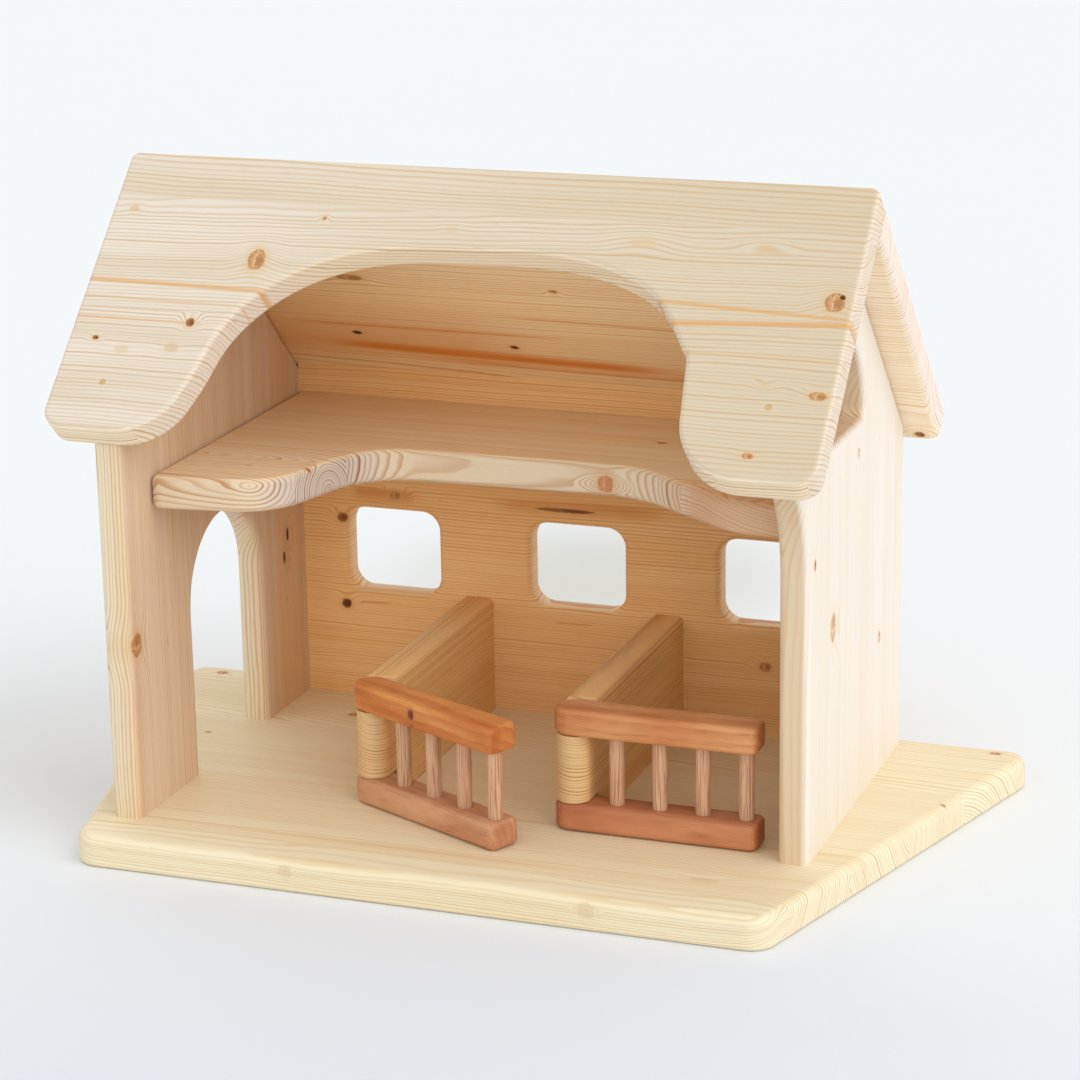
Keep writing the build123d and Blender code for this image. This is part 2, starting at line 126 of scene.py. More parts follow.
class Shader:
    """Builds one material's nodes."""

    def __init__(self, name: str) -> None:
        """Makes an empty material with a Principled surface.

        Args:
            name: The material's name.
        """
        self.material = bpy.data.materials.new(name)
        self.material.use_nodes = True
        self.tree = self.material.node_tree
        self.tree.nodes.clear()
        self.surface = self.node("ShaderNodeBsdfPrincipled", {}, {})
        output = self.node("ShaderNodeOutputMaterial", {}, {})
        self.tree.links.new(self.surface.outputs["BSDF"], output.inputs["Surface"])

    def node(self, kind: str, settings: dict, sockets: dict) -> bpy.types.Node:
        """Adds a node.

        Args:
            kind: The node's type.
            settings: Properties set before the sockets.
            sockets: Values or wires by input name or number.

        Returns:
            The new node.
        """
        made = self.tree.nodes.new(kind)
        for name, value in settings.items():
            setattr(made, name, value)
        for key, value in sockets.items():
            if isinstance(value, Wire):
                self.tree.links.new(value.socket, made.inputs[key])
            else:
                made.inputs[key].default_value = value
        return made

    def maths(self, operation: str, *values: "Wire | float") -> Wire:
        """Adds a Math node on the values and returns its result."""
        made = self.node("ShaderNodeMath", {"operation": operation}, dict(enumerate(values)))
        return Wire(self, made.outputs[0])

    def vector(self, operation: str, *values: "Wire | tuple", output: str = "Vector") -> Wire:
        """Adds a Vector Math node on the values and returns one of its outputs."""
        made = self.node("ShaderNodeVectorMath", {"operation": operation}, dict(enumerate(values)))
        return Wire(self, made.outputs[output])

    def mix(self, share: "Wire | float", first: "Wire | Colour", second: "Wire | Colour",
            way: str = "MIX") -> Wire:
        """Blends two colours.

        Args:
            share: How much of the second colour shows.
            first: Colour at share 0.
            second: Colour at share 1.
            way: Blend type.

        Returns:
            The blended colour.
        """
        def full(colour: "Wire | Colour") -> "Wire | tuple":
            """Adds the fourth channel to a constant colour."""
            return colour if isinstance(colour, Wire) else (*colour, 1.0)
        made = self.node("ShaderNodeMix", {"data_type": "RGBA", "blend_type": way},
                         {0: share, 6: full(first), 7: full(second)})
        return Wire(self, made.outputs[2])

    def constant(self, value: float) -> Wire:
        """A number that further maths starts from."""
        made = self.node("ShaderNodeValue", {}, {})
        made.outputs[0].default_value = value
        return Wire(self, made.outputs[0])

    def choose(self, share: Wire, first: Wire, second: Wire) -> Wire:
        """Blends two vectors."""
        made = self.node("ShaderNodeMix", {"data_type": "VECTOR"}, {0: share, 4: first, 5: second})
        return Wire(self, made.outputs[1])

    def split(self, vector: Wire) -> tuple[Wire, Wire, Wire]:
        """Splits a vector into its three numbers."""
        made = self.node("ShaderNodeSeparateXYZ", {}, {0: vector})
        return tuple(Wire(self, made.outputs[axis]) for axis in range(3))

    def join(self, x: "Wire | float", y: "Wire | float", z: "Wire | float") -> Wire:
        """Joins three numbers into a vector."""
        return Wire(self, self.node("ShaderNodeCombineXYZ", {}, {0: x, 1: y, 2: z}).outputs[0])

    def noise(self, where: Wire, scale: float, detail: float = 2.0, rough: float = 0.5) -> Wire:
        """Smooth noise from 0 to 1.

        Args:
            where: Point at which the noise is read.
            scale: Lumps for each unit of length.
            detail: Finer layers.
            rough: Strength of the finer layers.

        Returns:
            The noise's value.
        """
        made = self.node("ShaderNodeTexNoise", {}, {"Vector": where, "Scale": scale, "Detail": detail,
                                                    "Roughness": rough})
        return Wire(self, made.outputs[0])

    def chance(self, number: Wire) -> tuple[Wire, Wire, Wire]:
        """Three random numbers from 0 to 1 that depend only on a number."""
        made = self.node("ShaderNodeTexWhiteNoise", {"noise_dimensions": "1D"}, {"W": number})
        return self.split(Wire(self, made.outputs["Color"]))

    def coordinates(self, kind: str) -> Wire:
        """The object's own coordinates ("Object") or surface direction ("Normal")."""
        return Wire(self, self.node("ShaderNodeTexCoord", {}, {}).outputs[kind])

    def on_board(self, place: "Lay") -> Wire:
        """Object coordinates turned into a board's own directions, in millimetres."""
        turned = self.node("ShaderNodeMapping", {"vector_type": "TEXTURE"},
                           {"Vector": self.coordinates("Object"), "Location": place.corner,
                            "Rotation": place.turn(), "Scale": (MILLIMETRE,) * 3})
        return Wire(self, turned.outputs[0])

    def facing(self, direction: Vector) -> Wire:
        """How squarely the surface faces along a direction of the object, 0 to 1."""
        return self.vector("DOT_PRODUCT", self.coordinates("Normal"), tuple(direction),
                           output="Value").size()

    def finish(self, colour: Wire, rough: Wire, height: Wire, relief: float) -> bpy.types.Material:
        """Connects the colour, roughness and relief and returns the material.

        Args:
            colour: Surface colour.
            rough: Surface roughness.
            height: Relief from 0 to 1.
            relief: Depth of the relief in millimetres.

        Returns:
            The finished material.
        """
        bump = self.node("ShaderNodeBump", {}, {"Height": height, "Strength": BUMP_STRENGTH,
                                                "Distance": relief * MILLIMETRE})
        for name, wire in (("Base Color", colour), ("Roughness", rough),
                           ("Normal", Wire(self, bump.outputs[0]))):
            self.tree.links.new(wire.socket, self.surface.inputs[name])
        self.surface.inputs["Specular IOR Level"].default_value = OILED_SHEEN
        return self.material


# --------------------------------------------------------------------------------------- the woods
@dataclass(frozen=True)
class Lay:
    """How a board lies: a corner and the directions along and across its grain."""

    corner: Vector
    along: Vector
    across: Vector

    def turn(self) -> tuple[float, float, float]:
        """Rotation from the board's own directions to the object's."""
        through = self.along.cross(self.across)
        rows = Matrix((self.along, self.across, through))
        return tuple(rows.transposed().to_euler())


class Tone(Enum):
    """How dark a knot is."""

    PALE = 0.1
    TAN = 0.35
    BROWN = 0.62
    DARK = 0.85
    BLACK = 1.0


@dataclass(frozen=True)
class Knot:
    """A knot on a board, in millimetres along, across and through it."""

    along: float
    across: float
    size: float = 4.0
    oval: float = 1.3
    tone: Tone = Tone.BROWN
    depth: float = 0.0
    reach: float = 400.0
    swirl: float = 1.0
    stretch: float = 1.2


@dataclass(frozen=True)
class Streak:
    """A darker resinous band that follows the grain, in millimetres."""

    start: float
    end: float
    across: float
    width: float
    tilt: float = 0.0
    strength: float = 0.7


@dataclass(frozen=True)
class Pith:
    """Centre of a glued strip's rings, across and through the board, and where the strip lies."""

    start: float
    end: float
    across: float
    through: float
    lean: float = 0.0


@dataclass(frozen=True)
class KnotColours:
    """Colours of a knot from its heart outwards."""

    heart: Colour = seen(146, 82, 38)
    ring: Colour = seen(212, 146, 74)
    bark: Colour = seen(66, 34, 18)
    halo: Colour = seen(220, 180, 122)
    pale: Colour = seen(218, 192, 150)
    split: Colour = seen(226, 196, 150)


class KnotField:
    """Distance to the nearest knot, its darkness and how far the rings bulge round it."""

    def __init__(self, shader: Shader, place: Wire, knots: tuple[Knot, ...]) -> None:
        """Adds the nodes that compare a point with every knot.

        Args:
            shader: The material's builder.
            place: Point on the board in millimetres.
            knots: The board's knots.
        """
        self.shader = shader
        self.nearest = shader.constant(NO_KNOT)
        self.tone = shader.constant(0.0)
        self.swelling = shader.constant(0.0)
        self.local = place
        for knot in knots:
            away = shader.vector("SUBTRACT", place, (knot.along, knot.across, knot.depth))
            local = shader.vector("MULTIPLY", away, (1 / (knot.size * knot.oval), 1 / knot.size,
                                                     1 / knot.reach))
            distance = shader.vector("LENGTH", local, output="Value")
            bent = shader.vector("MULTIPLY", local, (SWIRL_REACH / knot.stretch, SWIRL_REACH, 1.0))
            bent = shader.vector("LENGTH", bent, output="Value")
            height = knot.size * SWIRL_HEIGHT * knot.swirl
            self.swelling = self.swelling + (1.0 - bent.rises(0.0, 1.3)) * height
            closer = shader.maths("LESS_THAN", distance, self.nearest)
            self.tone = self.tone + (knot.tone.value - self.tone) * closer
            self.local = shader.choose(closer, self.local, local)
            self.nearest = shader.maths("MINIMUM", self.nearest, distance)

    def paint(self, colour: Wire, fibre: Wire, colours: KnotColours) -> Wire:
        """Paints heart, rings, bark and halo over a colour.

        Args:
            colour: Colour so far.
            fibre: Fine noise along the grain.
            colours: The knots' colours.

        Returns:
            The colour with its knots.
        """
        shader, tone = self.shader, self.tone
        round_trip = shader.vector("NORMALIZE", self.local)
        rays = shader.noise(shader.vector("MULTIPLY", round_trip, (5.0, 5.0, 0.0)), 1.0, 2.0, 0.7)
        lumps = shader.noise(self.local, 1.6, 2.0, 0.6)
        ragged = self.nearest + (rays - 0.5) * 0.5 + (lumps - 0.5) * 0.5
        dark = tone.rises(0.2, 0.8)
        halo = (1.0 - ragged.rises(0.9, 2.2)) * (0.1 + dark * 0.5) * (0.3 + rays * 1.1)
        colour = shader.mix(halo, colour, colours.halo)
        body = shader.mix(dark, colours.pale, colours.ring)
        rings = (self.nearest * 3.0 + lumps * 1.6 + fibre * 0.4).fraction().rises(0.25, 0.85)
        body = shader.mix(rings * (0.12 + dark * 0.4), body, colours.heart)
        aside = shader.vector("SUBTRACT", self.local, (0.24, 0.08, 0.0))
        aside = shader.vector("LENGTH", aside, output="Value")
        aside = aside + (lumps - 0.5) * 0.7 + (rays - 0.5) * 0.4
        core = (1.0 - (aside / (0.3 + tone * 0.6)).rises(0.55, 1.0)) * dark
        body = shader.mix(core * (0.55 + tone * 0.45), body, colours.heart)
        beside, _, _ = shader.split(self.local)
        crack = 1.0 - (beside + 0.2 + (lumps - 0.5) * 0.7).size().rises(0.03, 0.13)
        body = shader.mix(crack * dark * (1.0 - tone.rises(0.6, 1.0)) * 0.8, body, colours.split)
        black = tone.rises(0.7, 1.0) * (1.0 - ragged.rises(0.6, 1.0)) * 0.85
        body = shader.mix(black, body, colours.bark)
        rim = ragged.rises(0.66, 0.84) * (1.0 - ragged.rises(0.9, 1.15)) * rays.rises(0.42, 0.62)
        inside = (1.0 - ragged.rises(0.85, 1.15)) * (0.4 + dark * 0.58)
        colour = shader.mix(inside, colour, body)
        return shader.mix(rim * dark * (0.25 + tone * 0.65), colour, colours.bark)


@dataclass(frozen=True)
class Spruce:
    """Board glued up from spruce strips, sanded and oiled.

    early, late, heart: the pale wood, its dark ring lines and the deeper bands.
    strip, ring: width of a glued strip and of a growth ring, in millimetres.
    painted shade (with its from, to and span): a tint multiplied onto the faces between two depths
    through the board, within a stretch along it.
    drift: how far the colour moves to heart along the board. rim: painted highlight, a colour on its
    long edges, which also get stronger ring lines.
    """

    name: str
    lay: Lay
    seed: float
    early: Colour = seen(234, 221, 200)
    late: Colour = seen(212, 174, 130)
    strip: float = 62.0
    ring: float = 3.1
    contrast: float = 0.6
    knots: tuple[Knot, ...] = ()
    streaks: tuple[Streak, ...] = ()
    streak_colour: Colour = seen(206, 142, 76)
    heart: Colour = seen(228, 208, 176)
    wander: float = 5.0
    piths: tuple[Pith, ...] = ()
    # painted shade: a tint multiplied onto the faces between two depths through the board, within a
    # stretch along it
    painted_shade: Colour = seen(255, 255, 255)
    painted_shade_from: float = -1.0
    painted_shade_to: float = 1.0
    painted_shade_span: tuple[float, float] = (-1000.0, 1000.0)
    drift: float = 0.0
    # painted highlight: colour of the long edges that face across the grain
    rim: Colour | None = None
    end: Colour = seen(238, 224, 208)
    end_late: Colour = seen(178, 124, 84)
    knot_colours: KnotColours = KnotColours()

    def build(self) -> bpy.types.Material:
        """Makes the board's material.

        Returns:
            The finished material.
        """
        shader = Shader(self.name)
        place = shader.on_board(self.lay)
        along, across, through = shader.split(place)
        knots = KnotField(shader, place, self.knots)
        strip = (across / self.strip + self.seed * 0.37).floor()
        chances = shader.chance(strip + self.seed * 17.31)
        rings, late = self._rings(shader, (along, across, through), strip, chances, knots)
        end_grain = shader.facing(self.lay.along).rises(0.35, 0.9)
        fibre = shader.noise(shader.join(along * 0.045, across * 2.6, through * 2.6), 1.0, 3.0, 0.6)
        bands = shader.noise(shader.join(along * 0.004, across * 0.055 + chances[0] * 7.0,
                                         self.seed * 3.1), 1.0, 2.0)
        ducts = shader.noise(shader.join(along * 0.12, across * 1.3, through * 1.3 + 11.0), 1.0, 0.0)
        ducts = ducts.rises(0.7, 0.8) * (1.0 - end_grain)

        colour = shader.mix(bands.rises(0.38, 0.78) * 0.7, self.early, self.heart)
        share = chances[1] * 0.3 + along.rises(-50.0, 420.0) * self.drift
        colour = shader.mix(share, colour, self.heart)
        # painted highlight: faces across the grain take the rim colour and stronger ring lines
        highlit_edge = shader.facing(self.lay.across).rises(0.4, 0.9)
        colour = shader.mix(highlit_edge, colour, self.rim) if self.rim else colour
        colour = shader.mix(end_grain * 0.8, colour, self.end)
        dark = shader.mix(end_grain, self.late, self.end_late)
        colour = shader.mix(late * (self.contrast + end_grain * 0.2 + highlit_edge * 0.15), colour, dark)
        colour = shader.mix((1.0 - fibre) * 0.16 + ducts * 0.14, colour, self.late, "MULTIPLY")
        colour = self._streaked(shader, colour, along, across, bands, fibre)
        colour = knots.paint(colour, fibre, self.knot_colours) if self.knots else colour
        # painted shade: the faces between two depths through the board, within a stretch along it, are
        # multiplied by the shade tint
        inside = ((through - self.painted_shade_from) / (self.painted_shade_to - self.painted_shade_from)).rises(0.0, 1.0)
        start, end = self.painted_shade_span
        inside = inside * along.rises(start - 1.0, start + 1.0)
        inside = inside * (1.0 - along.rises(end - 1.0, end + 1.0))
        colour = shader.mix(inside, colour, self.painted_shade, "MULTIPLY")
        rough = 0.52 + late * 0.08 + (fibre - 0.5) * 0.16 + end_grain * 0.12
        height = (1.0 - late) * 0.55 + fibre * 0.35 - ducts * 0.2
        return shader.finish(colour, rough, height, 0.2)

    def _rings(self, shader: Shader, place: tuple[Wire, Wire, Wire], strip: Wire,
               chances: tuple[Wire, Wire, Wire], knots: KnotField) -> tuple[Wire, Wire]:
        """Growth rings round a pith that differs from strip to strip.

        Args:
            shader: The material's builder.
            place: Place along, across and through the board.
            strip: Number of the glued strip.
            chances: The strip's random numbers.
            knots: The board's knots.

        Returns:
            The ring count and the share of dark latewood.
        """
        along, across, through = place
        first, second, third = chances
        middle = (strip - self.seed * 0.37 + 0.5) * self.strip
        side = third.rises(0.49, 0.51) * 2.0 - 1.0
        pith_across = middle + side * (0.3 + first * 1.3) * self.strip + along * (second - 0.5) * 0.04
        pith_through = first.rises(0.49, 0.51) * 2.0 - 1.0
        pith_through = pith_through * (14.0 + second * 52.0) + along * (third - 0.5) * 0.08
        for pith in self.piths:
            away = (across - (pith.start + pith.end) / 2).size()
            here = shader.maths("LESS_THAN", away, (pith.end - pith.start) / 2)
            pith_across = pith_across + (pith.across - pith_across) * here
            pith_through = pith_through + (along * pith.lean + pith.through - pith_through) * here
        slow = shader.noise(shader.join(along * 0.0055 + first * 40.0, across * 0.02, through * 0.02),
                            1.0, 1.5)
        quick = shader.noise(shader.join(along * 0.03, across * 0.16, through * 0.16 + self.seed),
                             1.0, 1.0)
        bulge = (slow - 0.5) * self.wander * 2.0 + (quick - 0.5) * 0.9 + knots.swelling
        offset_across = across - pith_across
        offset_through = through - pith_through
        distance = shader.maths("SQRT", offset_across * offset_across + offset_through * offset_through)
        rings = (distance + bulge) / (self.ring * (0.75 + second * 0.6))
        rings = rings + shader.noise(shader.join(rings * 0.21, first * 9.0, 0.0), 1.0, 1.0) * 2.2
        share = rings.fraction()
        strength, _, _ = shader.chance(rings.floor() + strip * 3.0 + self.seed)
        late = share.rises(0.42, 0.88) * (1.0 - share.rises(0.93, 1.0)) * (0.3 + strength * 0.7)
        return rings, late

    def _streaked(self, shader: Shader, colour: Wire, along: Wire, across: Wire, bands: Wire,
                  fibre: Wire) -> Wire:
        """Lays the resinous bands over the colour.

        Args:
            shader: The material's builder.
            colour: Colour so far.
            along: Place along the grain.
            across: Place across the grain.
            bands: Slow noise that makes the bands waver.
            fibre: Fine noise that breaks them up.

        Returns:
            The colour with its bands.
        """
        for streak in self.streaks:
            run = streak.end - streak.start
            centre = (along - streak.start) * (streak.tilt / run) + streak.across
            centre = centre + (bands - 0.5) * STREAK_WAVER
            beside = (across - centre) / ((bands + 0.5) * streak.width)
            inside = beside.rises(-1.5, 0.1) * (1.0 - beside.rises(0.2, 0.8))
            ends = (along.rises(streak.start, streak.start + run * 0.2)
                    * (1.0 - along.rises(streak.end - run * 0.25, streak.end)))
            colour = shader.mix(inside * ends * (0.5 + fibre * 0.9) * streak.strength, colour,
                                self.streak_colour)
        return colour


@dataclass(frozen=True)
class Hardwood:
    """Oiled hardwood with long pores and slow colour figure."""

    name: str
    lay: Lay
    seed: float
    light: Colour
    deep: Colour
    pore: Colour
    pore_share: float = 0.5
    ring: float = 3.0
    figure: float = 0.6
    own_attribute: str = ""
    knots: tuple[Knot, ...] = ()
    pore_run: float = 0.085
    pore_fine: float = 1.5
    pore_gate: float = 0.5

    def build(self) -> bpy.types.Material:
        """Makes the wood's material.

        Returns:
            The finished material.
        """
        shader = Shader(self.name)
        place = shader.on_board(self.lay)
        knots = KnotField(shader, place, self.knots)
        along, across, through = shader.split(place)
        shift = shader.constant(0.0)
        if self.own_attribute:
            own = shader.node("ShaderNodeAttribute", {"attribute_name": self.own_attribute}, {})
            shift = Wire(shader, own.outputs["Fac"])
        along = along + shift * 310.0 + self.seed * 23.0
        slow = shader.noise(shader.join(along * 0.012, across * 0.05, through * 0.05), 1.0, 2.0)
        side = across + 31.0 + shift * 19.0
        deep = through - 22.0 + shift * 27.0
        distance = shader.maths("SQRT", side * side + deep * deep) + knots.swelling
        rings = (distance + slow * 9.0) / self.ring
        share = rings.fraction()
        late = share.rises(0.15, 0.9) * (1.0 - share.rises(0.92, 1.0))
        fibre = shader.noise(shader.join(along * 0.06, across * 2.1, through * 2.1), 1.0, 3.0, 0.65)
        pores = shader.noise(shader.join(along * self.pore_run, across * self.pore_fine,
                                         through * self.pore_fine + 7.0), 1.0, 1.0)
        pores = pores.rises(self.pore_gate, self.pore_gate + 0.14) * (0.35 + late * 0.65)
        cloud = shader.noise(shader.join(along * 0.02, across * 0.07, through * 0.07 + 3.0), 1.0, 2.0)
        colour = shader.mix(cloud.rises(0.3, 0.72) * self.figure, self.light, self.deep)
        colour = shader.mix(late * 0.35, colour, self.deep)
        colour = shader.mix((1.0 - fibre) * 0.3, colour, self.deep, "MULTIPLY")
        colour = shader.mix(pores * self.pore_share, colour, self.pore)
        if self.knots:
            colour = knots.paint(colour, fibre, KnotColours(seen(112, 46, 26), seen(168, 88, 50),
                                                            seen(84, 34, 20), seen(178, 96, 56),
                                                            seen(188, 120, 80)))
        end_grain = shader.facing(self.lay.along).rises(0.5, 0.95)
        colour = shader.mix(end_grain * 0.35, colour, self.deep, "MULTIPLY")
        rough = 0.46 + pores * 0.2 + (fibre - 0.5) * 0.14 + end_grain * 0.1
        height = fibre * 0.4 - pores * 0.6 + 0.5
        return shader.finish(colour, rough, height, 0.2)


# ------------------------------------------------------------------------------- the barn's pieces
X, Y, Z = Vector((1, 0, 0)), Vector((0, 1, 0)), Vector((0, 0, 1))
COS_PITCH = math.sqrt(0.5)
RIDGE_BACK = 109.3              # outer ridge line, from the left wall's front edge
RIDGE_UP = 361.3
BACK_WALL_INSIDE = 226.0
RIGHT_WALL_OUTSIDE = -375.0
LOFT_TOP = 202.0
BEECH_LIGHT = seen(228, 204, 150)
BEECH_DEEP = seen(204, 170, 112)
BEECH_PORE = seen(170, 128, 78)


def corner_of_house() -> Vector:
    """Foot of the left wall's front edge on its outer face, where house sizes are counted from."""
    low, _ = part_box("left_wall")
    return Vector((low.x, low.y, 0.0))


def dress(node: str, material: bpy.types.Material) -> None:
    """Gives a CAD node its finish.

    Args:
        node: The node's name.
        material: Its material.
    """
    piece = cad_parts[node]
    piece.data.materials.clear()
    piece.data.materials.append(material)
    LOG.info("dressed %s in %s", node, material.name)


@dataclass
class House:
    """Base, walls, roof, loft and dividers: every board that stands still."""

    corner: Vector = field(default_factory=corner_of_house)

    def at(self, x: float, y: float, z: float) -> Vector:
        """Point from house sizes in millimetres."""
        return self.corner + Vector((x, y, z)) * MILLIMETRE

    def dress_base(self) -> None:
        """Base board: yellower spruce, grain along the front."""
        knots = (Knot(431, 238, 2.0, 1.6, Tone.BROWN), Knot(421, 152, 1.1, 1.5, Tone.BROWN),
                 Knot(-9, 137, 1.3, 1.3, Tone.BROWN), Knot(-47, 236, 2.5, 1.4, Tone.BROWN),
                 Knot(114, -29, 3.2, 1.2, Tone.PALE, 11.6, 3.4, 0.0),
                 Knot(280, -29, 3.8, 1.2, Tone.PALE, 11.3, 4.2, 0.0),
                 Knot(114, -29, 1.3, 1.3, Tone.DARK, 11.6, 1.5, 1.0),
                 Knot(280, -29, 2.0, 1.4, Tone.BROWN, 11.3, 2.2, 1.2),
                 Knot(330, 12, 2.6, 3.0, Tone.PALE), Knot(60, 190, 2.4, 1.4, Tone.BROWN))
        streaks = (Streak(150, 440, 60, 2.5, 6.0, 0.4), Streak(-60, 300, 8, 3.0, -5.0, 0.3))
        dress("base_board", Spruce("base_spruce", Lay(self.at(0, 0, 0), X, Y), 3.0,
                                   seen(244, 233, 203), seen(220, 184, 126), 58.0, 2.0, 0.75, knots,
                                   streaks, seen(222, 170, 100), seen(238, 218, 176),
                                   piths=(Pith(-64.4, -6.4, 0.0, -70.0),), end=seen(246, 236, 208),
                                   end_late=seen(208, 168, 118)).build())

    def dress_roof(self) -> None:
        """Both roof panels, grain along the ridge."""
        ridge = self.at(0, RIDGE_BACK, RIDGE_UP)
        down_front = Vector((0, -COS_PITCH, -COS_PITCH))
        down_back = Vector((0, COS_PITCH, -COS_PITCH))
        front_knots = (
            Knot(-11, 37, 2.2, 1.2, Tone.TAN, swirl=0.3),
            Knot(69, 65, 6.2, 0.78, Tone.BROWN, swirl=0.4),
            Knot(43, 106, 2.6, 0.9, Tone.DARK, swirl=1.5), Knot(-8, 119, 1.3, 1.4, Tone.DARK),
            Knot(9, 125, 2.4, 1.7, Tone.PALE, swirl=0.2), Knot(37, 122, 2.6, 1.5, Tone.TAN, swirl=0.2),
            Knot(100, 37, 1.2, 1.0, Tone.BROWN), Knot(172, 39, 2.2, 1.6, Tone.PALE, swirl=0.25),
            Knot(277, 41, 3.6, 2.0, Tone.PALE, swirl=0.6),
            Knot(341, 39, 1.8, 2.0, Tone.PALE, swirl=1.1, stretch=2.0),
            Knot(383, 70, 5.4, 0.95, Tone.BROWN, swirl=0.6),
            Knot(386, 67, 1.7, 1.1, Tone.BLACK, swirl=0.0),
            Knot(385, 124, 2.3, 2.0, Tone.BROWN), Knot(357, 160, 1.6, 1.8, Tone.BROWN, swirl=0.3),
            Knot(357, 120, 1.5, 1.5, Tone.PALE))
        front_streaks = (Streak(-60, 125, 82.5, 2.0, 2.5, 0.8), Streak(265, 420, 73.5, 1.3, 7.5, 0.8),
                         Streak(270, 440, 89.0, 2.0, -8.5, 0.9), Streak(-50, 60, 106, 1.2, 1.0, 0.6),
                         Streak(-50, 110, 93, 0.9, 2.0, 0.5), Streak(280, 420, 104, 1.0, 1.0, 0.5))
        # rim: painted highlight on the faces across the grain, at the eaves, the ridge and the arch
        dress("front_roof_panel", Spruce(
            "front_roof_spruce", Lay(ridge, X, down_front), 7.0, strip=71.0, ring=2.4, contrast=0.85,
            early=seen(231, 223, 209), late=seen(206, 170, 124), heart=seen(214, 199, 172),
            rim=seen(250, 233, 204), end_late=seen(212, 176, 138),
            knots=front_knots, streaks=front_streaks, streak_colour=seen(216, 162, 96),
            drift=0.8).build())
        back_knots = (Knot(66, 145, 1.9, 1.5, Tone.BLACK), Knot(160, 150, 1.7, 1.5, Tone.BLACK),
                      Knot(75, 196, 3.0, 1.4, Tone.TAN, swirl=3.2, stretch=4.0),
                      Knot(199, 89, 1.6, 1.5, Tone.BROWN), Knot(300, 204, 1.8, 1.5, Tone.BLACK),
                      Knot(202, 195, 1.5, 4.0, Tone.BROWN, swirl=2.0, stretch=2.5),
                      Knot(80, 87, 2.6, 3.0, Tone.BROWN), Knot(330, 60, 3.0, 1.3, Tone.BROWN),
                      Knot(255, 30, 2.6, 1.4, Tone.DARK), Knot(382, 214, 2.6, 1.1, Tone.DARK))
        back_streaks = (Streak(-100, 190, 150, 34.0, 0.0, 0.4), Streak(30, 270, 157, 6.0, 10.0, 1.0),
                        Streak(80, 340, 168, 4.0, 8.0, 0.5),
                        Streak(120, 320, 186, 2.4, 6.0, 0.6), Streak(20, 200, 136, 2.0, 2.0, 0.6),
                        Streak(150, 330, 118, 2.0, 6.0, 0.5))
        # painted shade: a darker, yellower tint on the underside, between the gables
        dress("back_roof_panel", Spruce(
            "back_roof_spruce", Lay(ridge, X, down_back), 12.0, seen(255, 232, 188), seen(230, 166, 94),
            66.0, 1.8, 0.8, back_knots, back_streaks, seen(226, 138, 48), seen(255, 244, 220),
            wander=3.0, drift=0.7, piths=(
                Pith(36.9, 102.9, -20.0, -50.0), Pith(102.9, 168.9, 30.0, -80.0),
                Pith(168.9, 240.0, 200.0, 26.0, 0.03)),
            end=seen(250, 240, 232), end_late=seen(200, 150, 120),
            painted_shade=seen(255, 243, 218), painted_shade_from=-8.0, painted_shade_to=-16.0, painted_shade_span=(14.0, 361.0)).build())

    def dress_walls(self) -> None:
        """Gable walls with upright grain and the back wall with level grain."""
        left_knots = (Knot(115, 7, 5.0, 1.3, Tone.BROWN, swirl=0.5), Knot(106, 43, 1.0, 2.4, Tone.TAN),
                      Knot(114, 200, 5.0, 3.0, Tone.TAN, swirl=0.6),
                      Knot(120, 201.5, 2.6, 2.4, Tone.BLACK), Knot(109, 197, 2.2, 2.2, Tone.BLACK),
                      Knot(82, 198, 1.4, 1.6, Tone.TAN), Knot(260, 120, 3.0, 1.4, Tone.BROWN))
        left_streaks = (Streak(-500, 700, 203, 22.0, 0.0, 0.5), Streak(-500, 700, 190, 3.0, 0.0, 0.5))
        # painted shade: a darker, yellower tint on the inner face; rim: painted highlight on the long
        # edges
        dress("left_wall", Spruce("left_wall_spruce", Lay(self.at(0, 0, 0), Z, Y), 5.0,
                                  seen(235, 224, 206), seen(210, 166, 118), 48.0, 1.7, 0.75,
                                  left_knots, left_streaks, seen(230, 186, 130), seen(224, 200, 168),
                                  painted_shade=seen(252, 242, 231), painted_shade_from=-6.0, painted_shade_to=-15.0, wander=3.0,
                                  piths=(Pith(-100.0, 300.0, -140.0, 150.0),),
                                  rim=seen(236, 222, 192)).build())
        right_knots = (Knot(214, 141, 1.8, 1.5, Tone.BROWN, RIGHT_WALL_OUTSIDE, 60.0),
                       Knot(133, 92, 4.6, 1.7, Tone.BROWN, RIGHT_WALL_OUTSIDE, 60.0, 1.2),
                       Knot(97, 190, 2.4, 1.4, Tone.BROWN, RIGHT_WALL_OUTSIDE, 60.0),
                       Knot(177, 56, 1.9, 1.6, Tone.DARK, RIGHT_WALL_OUTSIDE, 60.0))
        right_orange = KnotColours(seen(184, 128, 76), seen(226, 182, 128), seen(150, 92, 48),
                                   seen(242, 214, 170), seen(236, 204, 162), seen(240, 218, 184))
